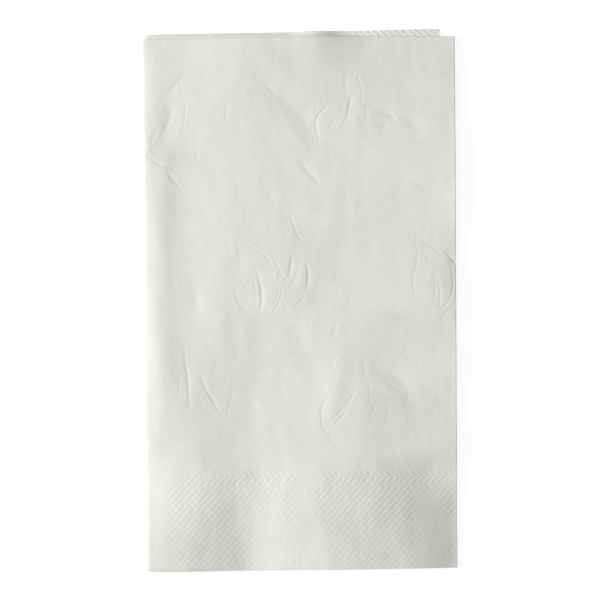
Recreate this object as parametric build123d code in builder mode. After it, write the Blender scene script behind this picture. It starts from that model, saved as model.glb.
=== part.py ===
"""Paper dinner napkin: one embossed sheet, folded in half and then twice more like a book."""

import math
import os

from build123d import *

# Driving dimensions of the sheet, in millimetres and degrees
sheet_width = 434.0  # the way that the sheet is folded twice, like a book
sheet_length = 381.0  # the way that the sheet is folded in half first
paper_thickness = 0.28  # both plies together
layer_gap = 0.27  # air between one layer of paper and the next
edge_setback = 3.4  # how far the loose side edge stops short of the right-hand fold
fold_skew = 0.37  # how far the right-hand fold is off square

# Driving dimensions of the embossed border
twill_height = 29.5  # field of slanted ribs along the sheet's edge
border_gap = 1.1  # plain strip between the field and the row of chevrons
chevron_lower = 2.6
chevron_upper = 1.7
rib_pitch = 1.71  # measured across the ribs
rib_width = 1.0
rib_height = 0.15
rib_slant = 48.0
rib_margin = 1.0  # plain paper left between the ribs and a fold

# Driving dimensions of the embossed tulips: each stroke's start, middle and end from the flower's middle
stroke_width = 0.9
stroke_depth = 0.12
tulip_pair = [
    [(-5.5, 13.0), (-7.5, 1.0), (-4.5, -11.0)],
    [(7.0, 1.5), (7.5, -6.0), (3.0, -13.0)],
    [(-4.5, 12.5), (0.5, 9.5), (5.0, 5.0)],
    [(5.5, 7.5), (7.8, 3.0), (10.0, -1.5)],
    [(-2.3, 3.5), (-1.0, -4.0), (-1.2, -11.5)],
    [(-0.7, 3.0), (1.1, -5.0), (0.7, -11.5)],
    [(12.3, 7.0), (11.7, 2.0), (11.0, -1.5)],
    [(17.5, 5.0), (18.0, 0.0), (17.0, -4.0)],
    [(19.3, 4.0), (19.5, -3.0), (14.0, -10.0)],
    [(11.5, 21.0), (13.5, 17.0), (15.0, 13.5)],
]
tulip_side = [
    [(-3.0, 14.5), (-9.5, 0.5), (-9.0, -9.5)],
    [(1.5, 4.0), (-3.0, -2.5), (-8.0, -8.5)],
    [(4.0, 12.0), (4.3, 9.5), (5.0, 7.5)],
    [(6.5, 2.5), (6.5, 0.0), (6.0, -2.0)],
    [(8.5, -3.0), (7.7, -5.0), (6.5, -7.0)],
    [(8.0, 10.0), (17.0, 4.0), (23.0, -7.0)],
]
# Middles of the flowers, from the spine and the open end of the front panel
pair_places = [(37.0, 104.5), (99.0, 105.0)]
side_places = [(5.0, 161.5), (68.0, 162.5), (16.0, 62.0), (71.0, 61.0)]

# Worked out: the stack of eight layers, two to a panel, counted from the underside
layer_pitch = paper_thickness + layer_gap
spine_height = 3.5 * layer_pitch + paper_thickness / 2
front_surface = 7 * layer_pitch + paper_thickness
half_length = sheet_length / 2
bend_radius = (layer_pitch + paper_thickness) / 2

# Worked out: how far each fold's middle line runs, and what is left for the flat panels
spine_bend = 3 * math.pi * layer_pitch
tight_bend = math.pi * layer_pitch
right_fold_reach = 1.5 * layer_pitch + paper_thickness / 2
panel_width = (sheet_width / 2 - 1.5 * tight_bend - right_fold_reach + edge_setback) / 2
under_width = sheet_width / 2 - panel_width - spine_bend - tight_bend / 2
inner_width = sheet_width / 2 - panel_width - 1.5 * tight_bend

# Worked out: the right-hand fold stands off square, so the panels past it turn by twice its skew
skew = math.radians(fold_skew)
fold_direction = (math.sin(skew), math.cos(skew), 0)
fold_middle = (panel_width, half_length / 2)
fold_plane = Plane(
    origin=(*fold_middle, 0),
    x_dir=fold_direction,
    z_dir=(math.cos(skew), -math.sin(skew), 0),
)
spine_axis = Axis((0, 0, spine_height), (0, 1, 0))
fold_axis = Axis((*fold_middle, spine_height + 2 * layer_pitch), fold_direction)
under_level = spine_height - 3 * layer_pitch
front_level = spine_height + 3 * layer_pitch


def half_folded_sheet(height):
    """Section of the sheet after its first fold: two layers joined by a round bend at the far end."""
    across = Plane(origin=(0, 0, height), x_dir=(0, 1, 0), z_dir=(1, 0, 0))
    bend_start = half_length - bend_radius
    outer = bend_radius
    inner = layer_gap / 2
    with BuildSketch(across) as section:
        with BuildLine():
            Line((0, outer), (bend_start, outer))
            ThreePointArc((bend_start, outer), (bend_start + outer, 0), (bend_start, -outer))
            Polyline((bend_start, -outer), (0, -outer), (0, -inner), (bend_start, -inner))
            ThreePointArc((bend_start, -inner), (bend_start + inner, 0), (bend_start, inner))
            Polyline((bend_start, inner), (0, inner), (0, outer))
        make_face()
    return section.sketch


def embossed_ribs(corner, opposite, anchor, surface, slant):
    """Ridged ribs at a slant, cut to the rectangle between two corners, one rib through the anchor.

    The ribs are one comb: their flanks run on below the surface to a thin back that joins them.
    """
    angle = math.radians(slant)
    reach = math.dist(corner, opposite)
    along = Vector(math.cos(angle), math.sin(angle))
    across = Plane(
        origin=Vector(*anchor, surface) - along * reach,
        x_dir=(-math.sin(angle), math.cos(angle), 0),
        z_dir=along,
    )
    sink = paper_thickness / 8
    half_foot = rib_width / 2 * (1 + sink / rib_height)
    count = math.ceil(reach / rib_pitch)
    comb = []
    for index in range(-count, count + 1):
        crest = index * rib_pitch
        comb += [(crest - half_foot, -sink), (crest, rib_height), (crest + half_foot, -sink)]
    comb += [(comb[-1][0], -2 * sink), (comb[0][0], -2 * sink)]
    with BuildPart() as ribs:
        with BuildSketch(across):
            with BuildLine():
                Polyline(*comb, close=True)
            make_face()
        extrude(amount=2 * reach)
        with BuildSketch(Plane.XY.offset(surface - 2 * sink)):
            with BuildLine():
                Polyline(corner, (opposite[0], corner[1]), opposite, (corner[0], opposite[1]), close=True)
            make_face()
        extrude(amount=2 * sink + rib_height, mode=Mode.INTERSECT)
    return ribs.part


def crescents(strokes):
    """Sketch of a flower: each stroke is a crescent with pointed ends."""
    with BuildSketch() as flower:
        for start, middle, end in strokes:
            side = (Vector(end) - Vector(start)).normalized().rotate(Axis.Z, 90) * (stroke_width / 2)
            with BuildLine():
                ThreePointArc(start, Vector(middle) + side, end)
                ThreePointArc(start, Vector(middle) - side, end)
            make_face()
    return flower.sketch


# The outer wrap: the panel underneath, the spine on the left, the front panel and its right-hand fold
with BuildPart() as outer_wrap:
    extrude(half_folded_sheet(under_level), amount=under_width)
    revolve(half_folded_sheet(under_level), axis=spine_axis, revolution_arc=180)
    extrude(half_folded_sheet(front_level), amount=2 * panel_width)
    split(bisect_by=fold_plane, keep=Keep.BOTTOM)
    revolve(faces().sort_by(Axis.X)[-1], axis=fold_axis, revolution_arc=180)

# The rest of the strip runs on flat past the right-hand fold, and is turned back under the front
with BuildPart() as run_on:
    extrude(half_folded_sheet(front_level), amount=2 * panel_width + inner_width)
    split(bisect_by=fold_plane, keep=Keep.TOP)
turned_back = run_on.part.rotate(fold_axis, 180)

with BuildPart() as tucked_panel:
    add(turned_back)
    split(bisect_by=Plane.YZ, keep=Keep.TOP)
    revolve(faces().sort_by(Axis.X)[0], axis=spine_axis, revolution_arc=-180)

# Past the spine it is turned once more, and ends in the loose side edge
with BuildPart() as past_spine:
    add(turned_back)
    split(bisect_by=Plane.YZ, keep=Keep.BOTTOM)
inner_panel = past_spine.part.rotate(spine_axis, 180)

# The embossed border: a field of ribs and a row of chevrons along the front panel's open end
border_left = rib_margin
border_right = panel_width - half_length / 2 * math.tan(skew) - rib_margin
border_middle = (border_left + border_right) / 2
chevron_base = twill_height + border_gap
chevron_middle = chevron_base + chevron_lower
chevron_top = chevron_middle + chevron_upper
chevron_anchor = (border_middle, chevron_middle)
front_border = [
    embossed_ribs(
        (border_left, 0), (border_right, twill_height), (border_middle, 0), front_surface, rib_slant
    ),
    embossed_ribs(
        (border_left, chevron_base), (border_right, chevron_middle), chevron_anchor, front_surface, rib_slant
    ),
    embossed_ribs(
        (border_left, chevron_middle), (border_right, chevron_top), chevron_anchor, front_surface, -rib_slant
    ),
]

# The same border down the sheet's side, where the inner panel shows past the front's top edge
fold_top = panel_width + half_length / 2 * math.tan(skew)
inner_right = (inner_width - half_length * math.tan(skew)) * math.cos(2 * skew)
side_left = inner_right - twill_height
inner_top = half_length + (fold_top + side_left) * math.tan(2 * skew) - bend_radius
inner_surface = spine_height - layer_pitch / 2 + paper_thickness / 2
side_strip = embossed_ribs(
    (side_left, half_length - rib_margin),
    (inner_right, inner_top),
    (side_left, half_length),
    inner_surface,
    rib_slant + 90,
)

# On the underside the border is seen pressed in, along the open end and down the loose side edge
under_border = [
    embossed_ribs((border_left, 0), (under_width, twill_height), (border_middle, 0), 0, -rib_slant),
    embossed_ribs(
        (under_width - twill_height, chevron_base),
        (under_width, half_length - bend_radius),
        (under_width, half_length / 2),
        0,
        90 - rib_slant,
    ),
]

with BuildPart() as folded:
    add(outer_wrap.part)
    add(tucked_panel.part)
    add(inner_panel)
    add(front_border)
    add(side_strip)
    add(under_border, mode=Mode.SUBTRACT)
    with BuildSketch(Plane.XY.offset(front_surface)):
        with Locations(*pair_places):
            add(crescents(tulip_pair))
        with Locations(*side_places):
            add(crescents(tulip_side))
        with BuildLine():
            Polyline(
                (border_left, chevron_top),
                (border_right, chevron_top),
                (border_right, half_length - bend_radius),
                (border_left, half_length - bend_radius),
                close=True,
            )
        make_face(mode=Mode.INTERSECT)
    extrude(amount=-stroke_depth, mode=Mode.SUBTRACT)

# The finished part stands on the middle of its own footprint
box = folded.part.bounding_box()
with BuildPart() as napkin:
    with Locations((-box.center().X, -box.center().Y, -box.min.Z)):
        add(folded.part)
napkin.part.label = "napkin"

os.makedirs("parts", exist_ok=True)
export_step(napkin.part, "parts/napkin.step")
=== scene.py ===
"""Folded paper dinner napkin: one embossed sheet as a soft closed mesh, with its paper, light and camera."""

import itertools
import math

import bpy
import numpy as np
from mathutils import Matrix, Vector


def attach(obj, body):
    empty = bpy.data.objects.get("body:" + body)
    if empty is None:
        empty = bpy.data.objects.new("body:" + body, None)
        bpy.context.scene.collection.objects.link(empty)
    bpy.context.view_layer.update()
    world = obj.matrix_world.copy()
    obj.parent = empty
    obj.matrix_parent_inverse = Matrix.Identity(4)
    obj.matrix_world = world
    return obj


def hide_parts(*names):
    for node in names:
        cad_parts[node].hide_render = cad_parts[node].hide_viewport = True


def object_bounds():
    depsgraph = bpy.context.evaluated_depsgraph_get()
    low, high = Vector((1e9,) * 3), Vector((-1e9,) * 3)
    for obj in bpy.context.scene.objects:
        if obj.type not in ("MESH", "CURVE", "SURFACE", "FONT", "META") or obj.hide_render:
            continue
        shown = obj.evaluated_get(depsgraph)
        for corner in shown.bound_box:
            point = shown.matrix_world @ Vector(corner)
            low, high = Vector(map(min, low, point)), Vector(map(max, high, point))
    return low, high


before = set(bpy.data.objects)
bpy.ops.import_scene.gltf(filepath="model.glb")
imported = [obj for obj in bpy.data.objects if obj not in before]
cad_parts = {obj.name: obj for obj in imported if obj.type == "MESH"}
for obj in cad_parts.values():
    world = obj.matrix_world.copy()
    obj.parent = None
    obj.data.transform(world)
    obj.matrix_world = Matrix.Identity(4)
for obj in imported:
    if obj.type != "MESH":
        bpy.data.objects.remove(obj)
cad_low, cad_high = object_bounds()

# The sheet, in millimetres and degrees, as it is folded in the part
mm = 0.001
sheet_length = 381.0
paper_thickness = 0.16
fold_skew = 0.37
under_width = 102.5  # from the spine to the loose edge underneath
inner_width = 106.0  # from the spine to the loose edge inside
spine_reach = 2.07  # from the spine's line to the left-hand end of the part's box
fold_reach = 0.97  # from the right-hand fold's line to where the bend round it ends

# How far the bends bulge: the outermost, and each one nested in it a little less
spine_bulge = 0.5
spine_bow = 0.5  # how much farther the spine spreads at the open end
bow_rows = (150, 40)  # where it begins to spread and where it is fully spread, from the open end
spine_inset = 1.12  # from the outer spine to the one nested in it
fold_bulge = 0.1
bulge_step = 0.26
bend_squareness = 4.0  # 2 is round, more is squarer

# Worked out from the sheet and the frame
half_length = sheet_length / 2
skew = math.radians(fold_skew)
front_width = (cad_high.x - cad_low.x) / mm
panel_width = front_width - spine_reach - fold_reach - half_length / 2 * math.tan(skew)
spine_start = spine_bulge + paper_thickness / 2 - spine_reach
nested_start = spine_start + spine_inset

# Where the photograph shows the front: its middle in pixels, its turn and its scale
photo_pixels = 600
photo_middle = (300.4, 303.5)
photo_turn = math.radians(0.66)
pixel = 0.3575  # millimetres
front_middle = ((panel_width + fold_reach - spine_reach) / 2, half_length / 2)

# The stack of eight layers, counted from the underside: outer and inner half of each panel
layer_count = 8
under_layers = (0, 1)
front_layers = (7, 6)
tucked_layers = (4, 5)
inner_layers = (3, 2)
typical_height = 3.6
least_height = 1.28
air_unevenness = 0.6  # how much thicker or thinner the air is between some layers than on average
air_waves = (17.0, 23.0, 31.0)  # millimetres to each radian of its waves: across, along and across
air_shift = 2.4  # how far round its waves each gap is from the next, in radians

# Sections of the soft front from left to right, at pixel rows: pixel columns and heights in millimetres
sections = {
    24: [(143, 3.65), (238, 4.15), (290, 4.15), (300, 5.05), (312, 6.0), (356, 1.6), (400, 1.9),
         (457, 1.85)],
    34: [(143, 3.65), (150, 3.75), (186, 3.6), (238, 4.15), (262, 4.1), (294, 4.0), (316, 4.0),
         (366, 2.15), (400, 2.0), (430, 1.75), (457, 1.65)],
    48: [(143, 3.65), (150, 3.75), (186, 3.6), (238, 4.15), (262, 4.05), (294, 3.75), (318, 3.75),
         (364, 2.4), (400, 2.15), (430, 1.84), (457, 1.73)],
    75: [(143, 3.3), (151, 3.58), (160, 3.53), (184, 3.48), (236, 3.7), (290, 3.35), (306, 3.35), (345, 3.0),
         (400, 2.6), (457, 2.5)],
    120: [(143, 3.45), (149, 3.57), (155, 3.57), (170, 3.38), (186, 3.52), (215, 3.62), (248, 3.65),
          (285, 3.35), (308, 3.15), (335, 3.15), (378, 3.0), (412, 2.75), (440, 2.85), (457, 2.85)],
    160: [(143, 3.4), (148, 3.57), (153, 3.6), (164, 3.52), (176, 3.25), (188, 3.1), (200, 3.2),
          (258, 3.48), (306, 3.4), (345, 3.28), (400, 3.5), (457, 3.95)],
    218: [(143, 2.85), (148, 3.13), (153, 3.3), (158, 3.35), (164, 3.25), (173, 2.93), (188, 2.77),
          (220, 3.07), (258, 3.0), (296, 2.87), (330, 2.92), (390, 2.85), (426, 2.92), (457, 3.25)],
    235: [(143, 2.8), (150, 3.15), (156, 3.35), (161, 3.4), (167, 3.3), (174, 3.02), (188, 2.85), (222, 3.23),
          (258, 3.19), (282, 3.14), (312, 2.89), (342, 2.65), (375, 2.68), (415, 2.7), (457, 2.65)],
    268: [(143, 2.8), (150, 3.18), (156, 3.38), (162, 3.43), (168, 3.33), (176, 3.13), (190, 3.0),
          (220, 3.27), (240, 3.17), (282, 3.21), (312, 2.92), (342, 2.68), (375, 2.88), (408, 3.08),
          (440, 3.03), (457, 2.93)],
    304: [(143, 2.7), (150, 3.15), (156, 3.39), (161, 3.43), (167, 3.32), (176, 3.11), (196, 2.99),
          (219, 3.28), (240, 3.08), (288, 3.22), (320, 2.95), (356, 2.86), (380, 2.98), (408, 3.27),
          (432, 3.55), (457, 3.5)],
    319: [(143, 3.22), (150, 3.64), (156, 3.85), (161, 3.89), (167, 3.78), (178, 3.52), (192, 3.44),
          (221, 3.67), (240, 3.37), (256, 3.17), (290, 3.23), (335, 3.28), (370, 3.25), (410, 2.95),
          (457, 2.75)],
    370: [(143, 3.12), (150, 3.58), (157, 3.96), (162, 4.02), (168, 3.93), (177, 3.67), (188, 3.49),
          (214, 3.3), (264, 2.75), (296, 2.9), (318, 2.93), (340, 3.13), (372, 2.87), (400, 2.66),
          (457, 2.85)],
    405: [(143, 3.25), (150, 3.57), (158, 3.93), (165, 4.03), (172, 4.01), (186, 3.9), (222, 3.3),
          (254, 2.83), (270, 3.05), (284, 3.17), (308, 3.23), (334, 3.57), (364, 3.68), (390, 3.15),
          (420, 2.65), (457, 2.2)],
    450: [(143, 4.0), (150, 4.27), (157, 4.4), (166, 4.44), (186, 4.57), (195, 4.58), (238, 3.7),
          (256, 3.58), (284, 3.72), (320, 3.9), (360, 3.9), (390, 3.62), (457, 3.1)],
    472: [(143, 3.95), (150, 4.2), (172, 4.9), (180, 5.03), (200, 5.1), (236, 4.42), (260, 4.17),
          (274, 4.27), (296, 4.7), (318, 4.9), (350, 4.75), (380, 4.2), (402, 3.38), (430, 2.22),
          (442, 2.07), (457, 2.04)],
    510: [(143, 5.22), (156, 5.7), (166, 5.97), (176, 6.08), (190, 6.12), (200, 6.17), (216, 5.82),
          (238, 4.97), (254, 4.82), (262, 4.94), (284, 5.5), (318, 5.87), (346, 5.57), (374, 5.27),
          (402, 4.27), (428, 3.02), (457, 1.45)],
    550: [(143, 6.09), (150, 6.19), (162, 6.24), (172, 6.24), (190, 6.04), (212, 5.25), (240, 4.2),
          (252, 4.0), (262, 4.12), (284, 4.7), (326, 5.34), (354, 5.04), (380, 4.54), (408, 3.89),
          (430, 3.02), (457, 1.45)],
}
section_softness = 3.5  # pixels, as is the step below
section_step = 0.25
softening_reach = 4  # in softnesses, from a corner to where its softening ends

# Smaller swells of the front: width either side and height, in millimetres, and the pixels each runs through
swells = [
    (1.6, 0.06, [(273, 266), (275, 280), (274, 294)]),
    (1.4, 0.06, [(304, 260), (304, 274), (298, 288)]),
    (3.2, -0.3, [(458, 248), (459, 262), (459, 285), (456, 306)]),
    (1.4, 0.03, [(355, 40), (355, 200), (357, 355)]),
    (3.6, -0.2, [(262, 78), (290, 104), (307, 126), (320, 146)]),
    (3.2, 0.14, [(346, 350), (339, 376), (332, 400), (329, 424)]),
    (3.4, -0.16, [(370, 368), (396, 377), (409, 394), (416, 420)]),
    (2.4, -0.07, [(171, 100), (168, 124), (160, 144)]),
    (1.6, 0.12, [(458, 90), (458, 160), (458, 232)]),
    (1.6, 0.1, [(458, 330), (459, 390), (459, 455)]),
    (3.0, -0.12, [(286, 320), (300, 342), (310, 366), (317, 386)]),
    (2.0, 0.05, [(316, 308), (311, 324), (312, 342)]),
    (3.0, 0.12, [(254, 392), (262, 412), (268, 432)]),
    (4.0, 0.12, [(296, 200), (318, 214), (342, 230)]),
    (0.45, -0.35, [(149, 572), (190, 571), (238, 569.6)]),
    (2.6, 0.16, [(145, 136), (146, 148), (147, 160)]),
    (2.6, -0.1, [(424, 386), (438, 397), (454, 410)]),
    (2.0, -0.08, [(370, 102), (386, 108), (400, 118)]),
    (2.0, -0.06, [(353, 98), (352, 114), (350, 130)]),
    (2.0, -0.1, [(403, 114), (411, 122), (419, 133)]),
    (1.0, 0.055, [(458.4, 176), (458.6, 214), (458.9, 246)]),
    (1.7, -0.06, [(273, 141), (282, 162), (287, 178)]),
    (1.7, -0.06, [(264, 181), (274, 204)]),
    (1.7, -0.06, [(344, 191), (348, 218)]),
    (1.7, -0.07, [(194, 283), (195, 302), (197, 318)]),
    (1.7, -0.06, [(166, 224), (172, 256)]),
    (1.7, -0.08, [(229, 306), (235, 336), (241, 366)]),
]

# A wave of the layers inside the stack at its folded end: pixel columns and rows
wave_middle = 334
wave_reach = 18
wave_rows = (60, 38)  # where it begins and where it is full
wave_share = 1.0  # its height, as a share of the air in the stack

# Lines pressed into the front: how wide each is on its left and right and how deep, in millimetres
fine = (0.26, 0.5)
bold = (0.42, 0.8)
broad = (0.9, 1.2)
route_steps = 16  # from each of a line's pixels to the next
ridge_reach = 3  # widths away from a line, where its relief is taken as none
least_gap = 1e-6  # for places on a line itself, which lie on neither side
flower_top = [
    (bold, 0.08, [(328, 106), (319, 114), (315.5, 125), (319, 140)]),
    (fine, 0.025, [(317, 105), (314, 115)]),
    (bold, 0.07, [(350.5, 98), (349, 105), (347, 115), (342, 127)]),
    (bold, 0.05, [(344.5, 77), (346, 90)]),
    (fine, 0.055, [(357, 75), (361, 87)]),
    (fine, 0.025, [(361.5, 86), (361.5, 111)]),
    (fine, 0.04, [(366, 105), (366.5, 113), (366, 124)]),
    (broad, 0.09, [(365, 106), (380, 111), (390, 115), (396, 121)]),
    (fine, 0.025, [(360, 115), (359, 127)]),
    (fine, 0.025, [(364, 119), (363, 132)]),
    (fine, 0.04, [(373, 123), (378, 121), (381, 126)]),
    (fine, 0.03, [(381, 130), (386, 123)]),
    (fine, 0.03, [(337, 114), (343, 108), (341, 119)]),
    (fine, 0.03, [(334, 120), (329, 132)]),
    (fine, 0.025, [(323, 75), (331, 85)]),
    (fine, 0.035, [(326, 84), (328, 93)]),
    (fine, 0.03, [(366, 127), (367, 133), (371, 140)]),
]
flower_left = [
    (bold, 0.06, [(182, 76), (176, 84), (168, 93)]),
    (fine, 0.035, [(179, 82), (181, 90)]),
    (fine, 0.03, [(162, 101), (153, 109)]),
    (broad, 0.06, [(171, 110), (168, 122), (161, 135)]),
    (bold, 0.05, [(156, 129), (151, 142)]),
    (fine, 0.04, [(184, 98), (185, 115), (182, 136)]),
    (fine, 0.04, [(150, 149), (156, 154)]),
    (bold, 0.08, [(149, 157), (160, 165), (175, 168)]),
    (bold, 0.08, [(167, 173), (173, 180), (180, 188)]),
    (fine, 0.035, [(194, 134), (200, 132), (206, 128)]),
    (fine, 0.03, [(226, 107), (225, 123)]),
    (fine, 0.03, [(214, 83), (219, 92)]),
    (fine, 0.03, [(196, 152), (197, 163)]),
    (fine, 0.03, [(214, 168), (217, 176)]),
]
flower_middle = [
    (fine, 0.03, [(237, 244), (239, 254), (240, 263)]),
    (fine, 0.045, [(243, 241), (251, 247), (259, 252), (266, 257), (273, 265)]),
    (fine, 0.04, [(272, 253), (277, 266), (284, 278), (288, 285)]),
    (bold, 0.1, [(291.5, 257), (290.5, 267), (288.5, 278)]),
    (fine, 0.035, [(297, 271), (294, 281), (287, 290)]),
    (bold, 0.09, [(306, 263), (308, 277), (306, 291)]),
    (fine, 0.04, [(306, 293), (301, 300), (296, 306)]),
    (fine, 0.04, [(253, 270), (255, 290), (255, 311)]),
    (bold, 0.095, [(255.5, 269), (260, 284), (261.5, 296), (260, 314)]),
    (fine, 0.04, [(272, 273), (274.5, 283), (274, 292)]),
    (fine, 0.04, [(277.5, 281), (278, 293), (274, 303.5), (264, 313)]),
    (fine, 0.05, [(282, 289), (280, 299), (272, 315)]),
    (fine, 0.05, [(235, 292), (239, 303.5), (247, 312)]),
    (fine, 0.05, [(289.5, 217), (295, 230), (301, 242)]),
    (fine, 0.025, [(243, 282), (248, 292)]),
    (fine, 0.03, [(284, 310.5), (290, 310.5)]),
    (fine, 0.025, [(288, 217), (287, 228)]),
    (bold, 0.02, [(325, 306), (313.5, 312), (309.5, 324), (310, 338)]),
]
flower_right = [
    (fine, 0.04, [(416, 237), (417, 250), (416.5, 262), (413.5, 275), (413, 284), (415, 294), (421, 302)]),
    (fine, 0.045, [(415, 236), (427, 243), (436, 250), (444, 257)]),
    (bold, 0.13, [(446, 253), (451, 258), (457, 265)]),
    (fine, 0.045, [(433, 268), (435, 282), (435, 292), (433, 301)]),
    (fine, 0.055, [(436, 274), (439, 288), (439.5, 298), (439, 310)]),
    (fine, 0.055, [(451, 262), (453, 280), (452, 292), (447, 303), (440, 309)]),
    (fine, 0.05, [(456, 303), (451, 308), (443, 315)]),
    (fine, 0.03, [(427, 256), (428, 262)]),
    (fine, 0.025, [(432, 237), (438, 243)]),
]
flower_low_left = [
    (bold, 0.04, [(184.5, 345), (185, 370)]),
    (bold, 0.085, [(185.5, 364), (188, 385), (189, 408)]),
    (fine, 0.04, [(179, 375), (179, 388), (177, 398)]),
    (bold, 0.085, [(200, 376), (206, 390), (211, 398), (219, 413)]),
    (fine, 0.04, [(200, 404), (205, 410), (214, 416), (226, 417)]),
    (fine, 0.03, [(233, 391), (230.5, 400), (227, 415)]),
    (fine, 0.03, [(203, 391), (208, 402)]),
    (fine, 0.03, [(225, 337), (230, 341)]),
    (fine, 0.025, [(241, 371), (243, 378)]),
]
flower_low_right = [
    (bold, 0.02, [(344, 357), (336, 375), (328, 396)]),
    (bold, 0.06, [(327, 398), (321, 411), (323, 428)]),
    (fine, 0.015, [(324, 366), (324, 388), (321, 398)]),
    (fine, 0.06, [(357, 386), (349, 401.5), (339, 413), (327, 425)]),
    (fine, 0.045, [(350, 404), (341, 417), (331, 428)]),
    (fine, 0.05, [(362.5, 363), (365.5, 377)]),
    (fine, 0.03, [(369, 383), (369.5, 405)]),
    (fine, 0.04, [(374, 406), (371, 420)]),
    (fine, 0.035, [(388, 413), (384, 423)]),
    (fine, 0.03, [(386, 404), (387, 413)]),
    (fine, 0.04, [(408.5, 394), (405, 407)]),
    (fine, 0.03, [(401, 418), (402, 426)]),
    (bold, 0.06, [(387, 383), (393, 387), (400, 391)]),
    (broad, 0.05, [(372, 370), (384, 373), (397, 378), (410, 392)]),
    (fine, 0.025, [(393, 407), (406, 406.5)]),
    (broad, 0.045, [(374, 391), (384, 394), (394, 400)]),
    (fine, 0.03, [(328, 433), (334, 446)]),
    (fine, 0.025, [(332, 363), (340, 352)]),
]
wrinkles = [
    (broad, 0.08, [(300, 161), (309, 172), (322, 186)]),
    (fine, 0.03, [(327, 157), (333, 163)]),
    (broad, 0.05, [(338, 318), (332, 342)]),
    (bold, 0.045, [(262, 84), (270, 89), (275, 96)]),
    (fine, 0.035, [(403.5, 131), (409, 138.5)]),
    (bold, 0.04, [(380, 461), (395, 466), (410, 470)]),
    (broad, 0.06, [(362, 308), (386, 312), (406, 316), (422, 321)]),
    (broad, 0.05, [(366, 220), (398, 224), (420, 234)]),
    (broad, 0.04, [(360, 166), (390, 172), (408, 178), (436, 194)]),
    (fine, 0.015, [(412, 180), (430, 192)]),
    (fine, 0.015, [(414, 100), (416, 112)]),
]
flowers = [*flower_top, *flower_left, *flower_middle, *flower_right, *flower_low_left, *flower_low_right]

# The embossed border along the open end
twill_height = 29.2
border_gap = 1.4
chevron_lower = 2.6
chevron_upper = 1.7
rib_pitch = 1.71
rib_slant = math.radians(48)
right_angle = math.pi / 2
rib_names = ("turn_along", "turn_across", "strength_along", "strength_across")
rib_margin = 1.0  # from the spine to the ribs underneath
rib_growth = 2.0  # how fast those gain strength to the millimetre, from the edge of their field
rib_rise = 0.015  # in the mesh
rib_print = 0.029  # in the paper, as sharp lines
rib_sharpness = 2.0
rib_limit = 1.4  # the strongest that any rib is pressed
strip_share = 1.05  # how high the ribs stand on the strip above the top edge
strip_widths = (38.0, 25.2)  # from the loose edge inside: where those begin, and where they are full
strip_reach = (5.0, 4.0)  # the same, from the folded end
twill_share = 0.7  # how high the field's ribs stand beside the chevrons
twill_fade = 0.4  # how much of that they lose towards the open end
fade_heights = (22.0, 14.0)  # above the open end, where they begin to lose it and where it is lost
twill_low = -9.0  # below the open end, so that the field runs out over it
twill_columns = (150, 172)  # pixels, where the field's ribs begin and where they are full
chevron_columns = (168, 188)  # the same for the chevrons
chevron_share = 0.9  # how high the chevrons stand
cross_share = 0.45  # how high the ribs that cross the field's stand beside those
worn_share = 0.85  # how much of their height worn ribs lose
band_softness = 0.2

# Patches of the border: middle and reach in pixels, where ribs cross the other way, and where they are worn
crossed_patches = [(204, 505, 38, 24), (251, 493, 12, 10), (343, 500, 28, 16), (415, 494, 22, 10)]
worn_patches = [
    (268, 525, 16, 34),
    (302, 548, 26, 20),
    (308, 480, 11, 20),
    (303, 512, 9, 24),
    (437, 535, 16, 40),
    (424, 506, 9, 16),
    (155, 520, 12, 60),
    (236, 508, 10, 14),
]
chevron_low = twill_height + border_gap
chevron_middle = chevron_low + chevron_lower
border_top = chevron_middle + chevron_upper

# The paper: its two tones and its sheen, and how high its crumples and fibres stand in millimetres
paper_dark = (0.71, 0.702, 0.66)
paper_light = (0.742, 0.734, 0.69)
paper_roughness = 0.9
paper_shine = 0.2
crumple_height = 0.2
fibre_height = 0.01

# Noise in the paper: stretch along the sheet, lumps to the metre and detail
mottle_noise = (1.5, 160, 4)
crumple_noise = (1.3, 110, 3)
fibre_noise = (3, 1800, 2)
rib_noise = (1, 700, 3)
mottle_range = (0.3, 0.7)  # of the noise, from the dark tone to the light one
rib_range = (0.35, 0.65)  # of the noise, from the faintest ribs to the strongest
rib_strengths = (0.2, 1.7)  # of those

# Grid of the mesh: blocks of cells on the front and the inner panel, and plain steps elsewhere
cells = 6  # to a block, each way
rib_cells = 2  # smallest cells to each cell on ribs, each way
coarse = 4  # blocks to a cell where nothing shows
fine_relief = 0.006  # millimetres, from which a block is split
front_blocks = 84
fold_strip = 0.2  # millimetres, the last of those blocks, beside the right-hand fold
inner_blocks = 40
inner_lines = inner_blocks * cells + 1
length_blocks = 148
back_steps = length_blocks // coarse
bend_steps = 8
under_steps = 22
tucked_steps = 18
crease_angle = math.radians(50)  # from which an edge is shaded as sharp

# Light: a soft lamp low on the left, another below for the underside, and an even white surround
lamp_share = 0.62
lamp_height = 21.0  # degrees above the table
lamp_swing = 4.0  # degrees towards the folded end
lamp_distance = 2.2
lamp_size = 0.6
floor_size = 8.0
floor_glow = 0.86
floor_tone = 0.3
floor_rise = 0.02  # millimetres, so that the floor and the underside don't share a plane

# Camera, in millimetres
lens = 180.0
sensor = 36.0


def on_front(px, py):
    """Plan place, in millimetres from the spine and the open end, of a pixel of the photograph."""
    across = (px - photo_middle[0]) * pixel
    up = (photo_middle[1] - py) * pixel
    x = front_middle[0] + across * math.cos(photo_turn) + up * math.sin(photo_turn)
    y = front_middle[1] - across * math.sin(photo_turn) + up * math.cos(photo_turn)
    return x, y


def in_photo(x, y):
    """Pixel of the photograph that shows a plan place."""
    across = (x - front_middle[0]) * math.cos(photo_turn) - (y - front_middle[1]) * math.sin(photo_turn)
    up = (x - front_middle[0]) * math.sin(photo_turn) + (y - front_middle[1]) * math.cos(photo_turn)
    return photo_middle[0] + across / pixel, photo_middle[1] - up / pixel


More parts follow.
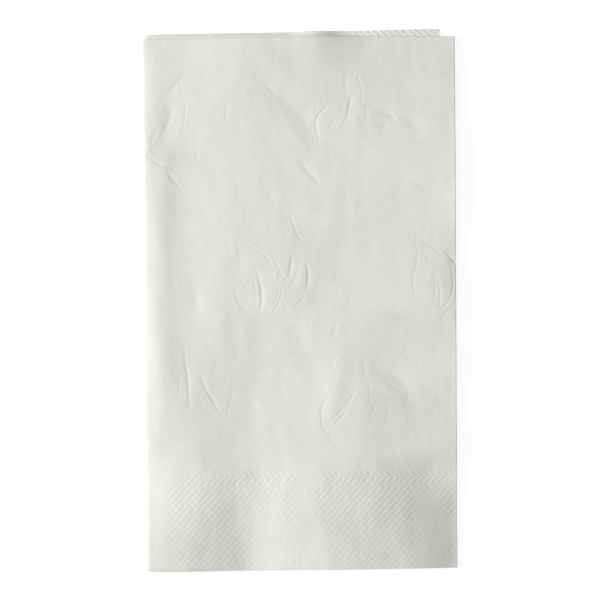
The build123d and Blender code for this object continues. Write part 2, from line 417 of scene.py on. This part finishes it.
def soft_step(value, start, end):
    """Rises smoothly from 0 at the start to 1 at the end."""
    share = np.clip((value - start) / (end - start), 0, 1)
    return share * share * (3 - 2 * share)


def soft_line(at, places, heights):
    """Height at each place of a line through a few points, with its corners softened."""
    reach = softening_reach * section_softness
    spots = np.arange(places[0] - 2 * reach, places[-1] + 2 * reach, section_step)
    offsets = np.arange(-reach, reach + section_step, section_step)
    weight = np.exp(-0.5 * (offsets / section_softness) ** 2)
    line = np.convolve(np.interp(spots, places, heights), weight / weight.sum(), mode="same")
    inside = np.abs(spots - (spots[0] + spots[-1]) / 2) < (spots[-1] - spots[0]) / 2 - reach
    return np.interp(at, spots[inside], line[inside])


def stack_top(x, y):
    """Height of the front's middle surface above the table, without its embossing."""
    px, py = in_photo(x, y)
    rows = list(sections)
    height = np.zeros(x.shape)
    for index, points in enumerate(sections.values()):
        hat = [float(index == other) for other in range(len(rows))]
        columns, heights = zip(*points)
        height += soft_line(py, rows, hat) * soft_line(px, columns, heights)
    for width, rise, points in swells:
        height += ridge(x, y, (width, width), rise, points)
    return np.maximum(height, least_height)


def smooth_route(points):
    """Closely spaced plan places on a smooth curve through a few pixels."""
    ends = np.array([on_front(px, py) for px, py in points])
    ends = np.vstack([2 * ends[0] - ends[1], ends, 2 * ends[-1] - ends[-2]])
    share = np.linspace(0, 1, route_steps, endpoint=False)[:, None]
    runs = []
    for before, start, end, after in zip(ends, ends[1:], ends[2:], ends[3:]):
        bend = (2 * before - 5 * start + 4 * end - after) * share**2
        twist = (3 * start - before - 3 * end + after) * share**3
        runs.append(start + ((end - before) * share + bend + twist) / 2)
    return np.vstack(runs)


def ridge(x, y, widths, rise, points):
    """A soft ridge along pixels, or a groove below zero, with its own width on each side and tapered ends."""
    route = smooth_route(points)
    low = route.min(axis=0) - ridge_reach * max(widths)
    high = route.max(axis=0) + ridge_reach * max(widths)
    near = (x > low[0]) & (x < high[0]) & (y > low[1]) & (y < high[1])
    away = np.stack([x[near], y[near]], axis=-1)[:, None, :] - route[None]
    gaps = np.linalg.norm(away, axis=-1)
    closest = gaps.argmin(axis=1)
    gap = gaps.min(axis=1)
    sideways = away[np.arange(gap.size), closest, 0] / np.maximum(gap, least_gap)
    width = widths[0] + (widths[1] - widths[0]) * (1 + sideways) / 2
    taper = np.sqrt(np.sin(math.pi * (closest + 1) / (len(route) + 1)))
    height = np.zeros(x.shape)
    height[near] = rise * taper * np.exp(-((gap / width) ** 2))
    return height


def rib_turn(x, y, slant):
    """How far round its wave a slanted rib is at each place, in radians."""
    return (x * math.sin(slant) - y * math.cos(slant)) * 2 * math.pi / rib_pitch


def front_rib_turns(x, y):
    """Turns of the border's two sets of ribs on the front, one slanting each way."""
    return rib_turn(x, y, rib_slant), rib_turn(x, y - 2 * chevron_middle, -rib_slant)


def band(y, low, high):
    """One between two heights above the open end, with soft ends."""
    above = soft_step(y, low - band_softness, low + band_softness)
    return above * soft_step(y, high + band_softness, high - band_softness)


def patches(x, y, places):
    """Soft patches, one at the middle of each and none well outside."""
    px, py = in_photo(x, y)
    share = np.zeros(x.shape)
    for middle_x, middle_y, reach_x, reach_y in places:
        share += np.exp(-(((px - middle_x) / reach_x) ** 2) - ((py - middle_y) / reach_y) ** 2)
    return np.clip(share, 0, 1)


def front_rib_strengths(x, y):
    """How strongly each set of ribs is pressed, in a field with patches and in a row of chevrons."""
    px, _ = in_photo(x, y)
    field = twill_share * (1 - twill_fade * soft_step(y, *fade_heights)) * band(y, twill_low, twill_height)
    field = field * soft_step(px, *twill_columns)
    chevrons = chevron_share * soft_step(px, *chevron_columns)
    worn = 1 - worn_share * patches(x, y, worn_patches)
    along = field + chevrons * band(y, chevron_low, chevron_middle)
    across = field * cross_share * patches(x, y, crossed_patches)
    across = across + chevrons * band(y, chevron_middle, border_top)
    return along * worn, across * worn


def border(x, y):
    """Height of the embossed border on the front."""
    relief = np.zeros(x.shape)
    for turn, strength in zip(front_rib_turns(x, y), front_rib_strengths(x, y)):
        relief += rib_rise * strength * np.sin(turn)
    return relief


def strip_strength(x):
    """How strongly the ribs of the inner panel's strip are pressed, from none at its start."""
    start, full = (inner_width - width for width in strip_widths)
    return strip_share * soft_step(x, start, full)


def strip_ribs(x, y):
    """Height of the ribs on the strip of the inner panel that shows above the top edge."""
    start, full = (half_length - reach for reach in strip_reach)
    strength = strip_strength(x) * soft_step(y, start, full)
    return rib_rise * strength * np.sin(rib_turn(x, y, right_angle + rib_slant))


def drawn_lines(x, y):
    """Depth of the flowers and wrinkles pressed into the front, below zero."""
    relief = np.zeros(x.shape)
    for widths, depth, points in flowers + wrinkles:
        relief += ridge(x, y, widths, -depth, points)
    return relief


def level(layer, x, y, top):
    """Height of a layer's middle surface; the air in the stack is shared unevenly between the layers."""
    spare = top - layer_count * paper_thickness
    weights = []
    for gap in range(layer_count - 1):
        turn = x / air_waves[0] + y / air_waves[1] + math.sin(gap) * x / air_waves[2]
        weights.append(1 + air_unevenness * np.sin(turn + air_shift * gap))
    share = sum(weights[:layer], np.zeros(x.shape)) / sum(weights)
    px, py = in_photo(x, y)
    along_wave = (px - wave_middle) / wave_reach
    wave = wave_share * along_wave * np.exp((1 - along_wave**2) / 2) * soft_step(py, *wave_rows)
    share = share - wave * share * (1 - share)
    return paper_thickness / 2 + layer * paper_thickness + share * spare


def fold_start(y):
    """How far from the spine the front's flat part ends and the right-hand fold begins."""
    fold_line = panel_width + (y - half_length / 2) * math.tan(skew)
    return fold_line + fold_reach - paper_thickness / 2 - fold_bulge


def spine_line(y):
    """Where the front's flat part begins at the spine, which spreads towards the open end."""
    return spine_start - spine_bow * soft_step(y, *bow_rows)


def flat_panel(layers, x, y, turn):
    """Points of a panel's two layers, joined by a bend past its far end; turn runs from 0 to pi."""
    x, y, turn = np.broadcast_arrays(x, y, turn)
    top = stack_top(x, y)
    outer = level(layers[0], x, y, top)
    inner = level(layers[1], x, y, top)
    if layers == front_layers:
        outer = outer + border(x, y) + drawn_lines(x, y)
    if layers == inner_layers:
        outer = outer + strip_ribs(x, y)
    half = (outer - inner) / 2
    return np.stack([x, y + np.abs(half) * np.sin(turn), (outer + inner) / 2 + half * np.cos(turn)], axis=-1)


def side_fold(lower, upper, x, y, turn, angle, bulges):
    """Points of two nested bends that join the layers of two panels; angle runs from below to above."""
    outwards = np.cos(angle) ** (2 / bend_squareness)
    upwards = np.sign(angle) * np.abs(np.sin(angle)) ** (2 / bend_squareness)
    outer_share = (1 + np.cos(turn)) / 2
    x = x + (bulges[0] * outer_share + bulges[1] * (1 - outer_share)) * outwards
    x, y, turn = np.broadcast_arrays(x, y, turn)
    top = stack_top(x, y)
    heights = []
    for low, high in zip(lower, upper):
        low_level = level(low, x, y, top)
        high_level = level(high, x, y, top)
        heights.append((low_level + high_level) / 2 + (high_level - low_level) / 2 * upwards)
    middle = heights[0] * outer_share + heights[1] * (1 - outer_share)
    return np.stack([x, y + bulge_step / 2 * np.sin(turn), middle], axis=-1)


def sheet_rows():
    """Rows along the sheet: how far up the panel each lies, and its turn round the first fold."""
    up = np.linspace(0, 1, length_blocks * cells + 1)
    turn = np.linspace(0, math.pi, bend_steps + 1)[1:-1]
    down = np.linspace(1, 0, back_steps + 1)
    climb = np.concatenate([up, np.ones(turn.size), down])
    turns = np.concatenate([np.zeros(up.size), turn, np.full(down.size, math.pi)])
    return climb, turns


def sheet_points():
    """Middle surface of the whole sheet, by columns from the loose edge underneath to the one inside."""
    climb, turns = sheet_rows()
    bend_reach = (typical_height - paper_thickness) / (layer_count - 1) / 2 + paper_thickness / 2
    under_share = np.linspace(0, 1, under_steps + 1)[:, None]
    tucked_share = np.linspace(0, 1, tucked_steps + 1)[:, None]
    inner_share = np.linspace(0, 1, inner_lines)[:, None]
    narrow_start = 1 - fold_strip / panel_width
    plain_share = np.linspace(0, narrow_start, (front_blocks - 1) * cells, endpoint=False)
    front_share = np.append(plain_share, np.linspace(narrow_start, 1, cells + 1))[:, None]
    angle = np.linspace(-right_angle, right_angle, bend_steps + 1)[1:-1, None]
    base = climb * (half_length - bend_reach)
    fold = fold_start(base)
    spine = spine_line(base)
    lean = math.tan(2 * skew)
    spine_base = base + (fold - nested_start) * lean
    inner_edge = (inner_width - base * math.tan(skew)) * math.cos(2 * skew)
    inner_x = nested_start + inner_share * (inner_edge - nested_start)
    tucked_y = base + tucked_share * (spine_base - base)
    outer_spine = (-spine_bulge, bulge_step - spine_bulge)
    inner_spine = (bulge_step - spine_bulge, -spine_bulge)
    right_fold = (fold_bulge, fold_bulge - bulge_step)
    return np.concatenate([
        flat_panel(under_layers, under_width + under_share * (spine - under_width), base, turns),
        side_fold(under_layers, front_layers, spine, base, turns, angle, outer_spine),
        flat_panel(front_layers, spine + front_share * (fold - spine), base, turns),
        side_fold(tucked_layers, front_layers, fold, base, turns, -angle, right_fold),
        flat_panel(tucked_layers, fold + tucked_share * (nested_start - fold), tucked_y, turns),
        side_fold(inner_layers, tucked_layers, nested_start, spine_base, turns, -angle, inner_spine),
        flat_panel(inner_layers, inner_x, spine_base + (inner_x - nested_start) * lean, turns),
    ])


def rib_marks(points):
    """Turn and strength of two sets of ribs at each point, for the paper to show up to its limit."""
    x, y = points[..., 0], points[..., 1]
    marks = {name: np.zeros(x.shape) for name in rib_names}
    under = np.s_[: under_steps + 1]
    x_under, y_under = x[under], y[under]
    past_spine = x_under - rib_margin
    past_edge = x_under - under_width + twill_height
    marks["turn_along"][under] = rib_turn(x_under, y_under, -rib_slant)
    marks["strength_along"][under] = rib_growth * np.minimum(twill_height - y_under, past_spine)
    marks["turn_across"][under] = rib_turn(x_under, y_under, right_angle - rib_slant)
    marks["strength_across"][under] = rib_growth * np.minimum(past_edge, y_under - chevron_low)
    front_start = under_steps + bend_steps
    front = np.s_[front_start : front_start + front_blocks * cells + 1, : length_blocks * cells + 1]
    turns = front_rib_turns(x[front], y[front])
    strengths = front_rib_strengths(x[front], y[front])
    for name, values in zip(rib_names, (*turns, *strengths)):
        marks[name][front] = values
    inner = np.s_[-inner_lines:]
    for side in ("along", "across"):
        marks["turn_" + side][inner] = rib_turn(x[inner], y[inner], right_angle + rib_slant)
        marks["strength_" + side][inner] = strip_strength(x[inner])
    return marks


def both_faces(points):
    """The sheet's outer and inner face, half a thickness either side of its middle surface."""
    across = np.gradient(points, axis=0)
    along = np.gradient(points, axis=1)
    normal = np.cross(across, along)
    normal /= np.linalg.norm(normal, axis=-1, keepdims=True)
    return points + normal * paper_thickness / 2, points - normal * paper_thickness / 2


def block_starts(runs):
    """Blocks of grid lines, each with its first line and its number of cells."""
    blocks = []
    line = 0
    for count, size in runs:
        for _ in range(count):
            blocks.append((line, size))
            line += size
    return blocks


def split_block(lines, rib_relief, i, j, sizes):
    """Cells of one block of the grid: smallest along drawn lines, small on ribs, else the whole block."""
    size, smaller = sizes[0], sizes[1:]
    block = np.s_[i : i + size + 1, j : j + size + 1]
    lined = np.ptp(lines[block]) > fine_relief
    ribbed = len(smaller) > 1 and np.ptp(rib_relief[block]) > fine_relief
    if smaller and (lined or ribbed):
        for next_i in range(i, i + size, smaller[0]):
            for next_j in range(j, j + size, smaller[0]):
                yield from split_block(lines, rib_relief, next_i, next_j, smaller)
    else:
        yield i, i + size, j, j + size


def sheet_cells(points):
    """Cells of the grid on both faces: split where the front and the strip show, and coarse elsewhere."""
    bend = (bend_steps, 1)
    front = (front_blocks // coarse, coarse * cells)
    behind = [bend, (tucked_steps, 1), bend, (inner_blocks, cells)]
    across = block_starts([(under_steps, 1), bend, front, *behind])
    along = block_starts([(back_steps, coarse * cells), bend, (back_steps, 1)])
    front_end = under_steps + 2 * bend_steps + front_blocks * cells
    inner_start = len(points) - inner_lines
    strip_end = back_steps * coarse * cells
    strip_start = strip_end - coarse * cells
    x, y = points[..., 0], points[..., 1]
    lines = drawn_lines(x, y)
    lines[inner_start:] = strip_ribs(x[inner_start:], y[inner_start:])
    rib_relief = border(x, y)
    for face, (first_i, size_i), (first_j, size_j) in itertools.product((0, 1), across, along):
        in_front = under_steps <= first_i < front_end
        in_strip = first_i >= inner_start and strip_start <= first_j < strip_end
        shown = face == 0 and (in_front or in_strip)
        step_i = min(cells, size_i) if shown else size_i
        step_j = min(cells, size_j) if shown else size_j
        starts_i = range(first_i, first_i + size_i, step_i)
        starts_j = range(first_j, first_j + size_j, step_j)
        for i, j in itertools.product(starts_i, starts_j):
            parts = [(i, i + step_i, j, j + step_j)]
            if step_i == cells and step_j == cells:
                parts = split_block(lines, rib_relief, i, j, (cells, rib_cells, 1))
            for part in parts:
                yield face, *part


def rim_faces(used, number):
    """Faces of the cut edge that join the two faces all round the sheet."""
    last_i = used.shape[1] - 1
    last_j = used.shape[2] - 1
    walk = [(i, 0) for i in range(last_i)] + [(last_i, j) for j in range(last_j)]
    walk += [(i, last_j) for i in range(last_i, 0, -1)] + [(0, j) for j in range(last_j, 0, -1)]
    walk = [(i, j) for i, j in walk if used[0, i, j]]
    rim = []
    for (i, j), (next_i, next_j) in zip(walk, walk[1:] + walk[:1]):
        ring = [(0, next_i, next_j), (0, i, j), (1, i, j), (1, next_i, next_j)]
        rim.append([int(number[spot]) for spot in ring])
    return rim


def napkin_mesh():
    """One closed mesh of the folded sheet."""
    middle = sheet_points()
    points = np.stack(both_faces(middle))
    grid = list(sheet_cells(middle))
    corners = np.array(grid)
    used = np.zeros(points.shape[:3], dtype=bool)
    for i in (1, 2):
        for j in (3, 4):
            used[corners[:, 0], corners[:, i], corners[:, j]] = True
    for edge in (np.s_[:, 0, :], np.s_[:, -1, :], np.s_[:, :, 0], np.s_[:, :, -1]):
        used[edge] = used[edge].any(axis=0)
    number = np.cumsum(used).reshape(used.shape) - 1

    faces = []
    for face, i0, i1, j0, j1 in grid:
        ring = [(i, j0) for i in range(i0, i1)] + [(i1, j) for j in range(j0, j1)]
        ring += [(i, j1) for i in range(i1, i0, -1)] + [(i0, j) for j in range(j1, j0, -1)]
        ring = [int(number[face, i, j]) for i, j in ring if used[face, i, j]]
        faces.append(ring if face == 0 else ring[::-1])
    faces += rim_faces(used, number)

    place = np.array([cad_low.x + spine_reach * mm, cad_low.y, cad_low.z])
    mesh = bpy.data.meshes.new("napkin_sheet")
    mesh.from_pydata((points[used] * mm + place).tolist(), [], faces)
    mesh.update()
    mesh.polygons.foreach_set("use_smooth", np.ones(len(mesh.polygons), dtype=bool))
    mesh.set_sharp_from_angle(angle=crease_angle)
    for name, values in rib_marks(middle).items():
        marks = mesh.attributes.new(name, "FLOAT", "POINT")
        marks.data.foreach_set("value", np.broadcast_to(values, used.shape)[used].astype(np.float32))
    return mesh


def noise(nodes, links, place, stretch, scale, detail):
    """Noise over the napkin, with a scale in lumps to the metre and a stretch along it."""
    mapping = nodes.new("ShaderNodeMapping")
    mapping.inputs["Scale"].default_value = (1, 1 / stretch, 1)
    links.new(place, mapping.inputs["Vector"])
    texture = nodes.new("ShaderNodeTexNoise")
    texture.inputs["Scale"].default_value = scale
    texture.inputs["Detail"].default_value = detail
    links.new(mapping.outputs["Vector"], texture.inputs["Vector"])
    return texture.outputs["Fac"]


def raised(nodes, links, height, distance, normal):
    """A bump of a height between none and one, on top of another normal."""
    bump = nodes.new("ShaderNodeBump")
    bump.inputs["Strength"].default_value = 1
    bump.inputs["Distance"].default_value = distance * mm
    links.new(height, bump.inputs["Height"])
    if normal:
        links.new(normal, bump.inputs["Normal"])
    return bump.outputs["Normal"]


def math_node(nodes, links, operation, first, second=None):
    """The result of one operation on another node's output, and a second output or plain number."""
    node = nodes.new("ShaderNodeMath")
    node.operation = operation
    links.new(first, node.inputs[0])
    if isinstance(second, float):
        node.inputs[1].default_value = second
    elif second:
        links.new(second, node.inputs[1])
    return node.outputs[0]


def rib_lines(nodes, links, side):
    """Sharp lines along the crests of one set of ribs, as strong as the mesh marks them."""
    turn = nodes.new("ShaderNodeAttribute")
    turn.attribute_name = "turn_" + side
    strength = nodes.new("ShaderNodeAttribute")
    strength.attribute_name = "strength_" + side
    limited = nodes.new("ShaderNodeClamp")
    limited.inputs["Max"].default_value = rib_limit
    links.new(strength.outputs["Fac"], limited.inputs["Value"])
    wave = math_node(nodes, links, "SINE", turn.outputs["Fac"])
    sharpened = math_node(nodes, links, "MULTIPLY", wave, rib_sharpness)
    crest = math_node(nodes, links, "EXPONENT", sharpened)
    whole = math_node(nodes, links, "MULTIPLY", crest, math.exp(-rib_sharpness))
    return math_node(nodes, links, "MULTIPLY", whole, limited.outputs["Result"])


def border_ribs(nodes, links, place):
    """Both sets of ribs, pressed unevenly."""
    along = rib_lines(nodes, links, "along")
    across = rib_lines(nodes, links, "across")
    both = math_node(nodes, links, "ADD", along, across)
    uneven = nodes.new("ShaderNodeMapRange")
    for end, limit, strength in zip(("Min", "Max"), rib_range, rib_strengths):
        uneven.inputs["From " + end].default_value = limit
        uneven.inputs["To " + end].default_value = strength
    links.new(noise(nodes, links, place, *rib_noise), uneven.inputs["Value"])
    return math_node(nodes, links, "MULTIPLY", both, uneven.outputs["Result"])


def paper_material():
    """Matt white tissue: a little mottled, softly crumpled, with fine fibres along the sheet."""
    material = bpy.data.materials.new("napkin_paper")
    material.use_nodes = True
    nodes, links = material.node_tree.nodes, material.node_tree.links
    shader = nodes["Principled BSDF"]
    shader.inputs["Roughness"].default_value = paper_roughness
    shader.inputs["Specular IOR Level"].default_value = paper_shine
    place = nodes.new("ShaderNodeTexCoord").outputs["Object"]
    mottle = nodes.new("ShaderNodeValToRGB")
    for stop, position, tone in zip(mottle.color_ramp.elements, mottle_range, (paper_dark, paper_light)):
        stop.position = position
        stop.color = (*tone, 1)
    links.new(noise(nodes, links, place, *mottle_noise), mottle.inputs["Fac"])
    links.new(mottle.outputs["Color"], shader.inputs["Base Color"])
    normal = raised(nodes, links, noise(nodes, links, place, *crumple_noise), crumple_height, None)
    normal = raised(nodes, links, noise(nodes, links, place, *fibre_noise), fibre_height, normal)
    normal = raised(nodes, links, border_ribs(nodes, links, place), rib_print, normal)
    links.new(normal, shader.inputs["Normal"])
    return material


def napkin():
    """The napkin as one piece, riding on the part's only body."""
    piece = bpy.data.objects.new("napkin_sheet", napkin_mesh())
    bpy.context.scene.collection.objects.link(piece)
    piece.data.materials.append(paper_material())
    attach(piece, "root")
    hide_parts("napkin")
    return piece


def seen_directly(nodes, links):
    """One where the camera, a reflection or a transmission looks at a surface, and none for its light."""
    path = nodes.new("ShaderNodeLightPath")
    seen = path.outputs["Is Camera Ray"]
    for other in ("Is Glossy Ray", "Is Transmission Ray"):
        seen = math_node(nodes, links, "MAXIMUM", seen, path.outputs[other])
    return seen


def lamp(name, height):
    """A soft lamp at a height in degrees, bright enough for its share on a level surface."""
    rise = math.radians(height)
    swing = math.radians(lamp_swing)
    towards = Vector((-math.cos(rise) * math.cos(swing), math.cos(rise) * math.sin(swing), math.sin(rise)))
    data = bpy.data.lights.new(name, "AREA")
    data.shape = "DISK"
    data.size = lamp_size
    data.energy = lamp_share * math.pi**2 * lamp_distance**2 / abs(math.sin(rise))
    light = bpy.data.objects.new(name, data)
    light.location = towards * lamp_distance
    light.rotation_euler = towards.to_track_quat("Z", "Y").to_euler()
    light.visible_camera = False
    bpy.context.scene.collection.objects.link(light)


def surround():
    """White all round to look at, and an even light of its own share."""
    world = bpy.data.worlds.new("surround")
    bpy.context.scene.world = world
    world.use_nodes = True
    nodes, links = world.node_tree.nodes, world.node_tree.links
    background = nodes["Background"]
    background.inputs["Color"].default_value = (1, 1, 1, 1)
    strength = nodes.new("ShaderNodeMapRange")
    strength.inputs["To Min"].default_value = 1 - lamp_share
    strength.inputs["To Max"].default_value = 1
    links.new(seen_directly(nodes, links), strength.inputs["Value"])
    links.new(strength.outputs["Result"], background.inputs["Strength"])


def floor():
    """A plain white floor that keeps the napkin's shadow."""
    bpy.ops.mesh.primitive_plane_add(size=floor_size, location=(0, 0, cad_low.z + floor_rise * mm))
    plane = bpy.context.object
    plane.name = "floor"
    material = bpy.data.materials.new("floor_white")
    material.use_nodes = True
    nodes, links = material.node_tree.nodes, material.node_tree.links
    shader = nodes["Principled BSDF"]
    shader.inputs["Base Color"].default_value = (floor_tone, floor_tone, floor_tone, 1)
    shader.inputs["Roughness"].default_value = 1
    shader.inputs["Specular IOR Level"].default_value = 0
    shader.inputs["Emission Color"].default_value = (1, 1, 1, 1)
    glow = math_node(nodes, links, "MULTIPLY", seen_directly(nodes, links), floor_glow)
    links.new(glow, shader.inputs["Emission Strength"])
    plane.data.materials.append(material)


def camera():
    """Straight above the front, turned and framed as the photograph is."""
    middle_x, middle_y = on_front(photo_pixels / 2, photo_pixels / 2)
    distance = photo_pixels * pixel * lens / sensor
    data = bpy.data.cameras.new("camera")
    data.lens = lens
    data.sensor_width = sensor
    turned = Matrix.Rotation(-photo_turn, 4, "Z")
    place = Vector((
        cad_low.x + (spine_reach + middle_x) * mm,
        cad_low.y + middle_y * mm,
        cad_low.z + (typical_height + distance) * mm,
    ))
    view = bpy.data.objects.new("camera", data)
    view.matrix_world = Matrix.Translation(place) @ turned
    bpy.context.scene.collection.objects.link(view)
    bpy.context.scene.camera = view


bpy.context.scene.view_settings.view_transform = "Standard"
camera()
lamp("key", lamp_height)
lamp("under", -lamp_height)
surround()
floor()
sheet = napkin()
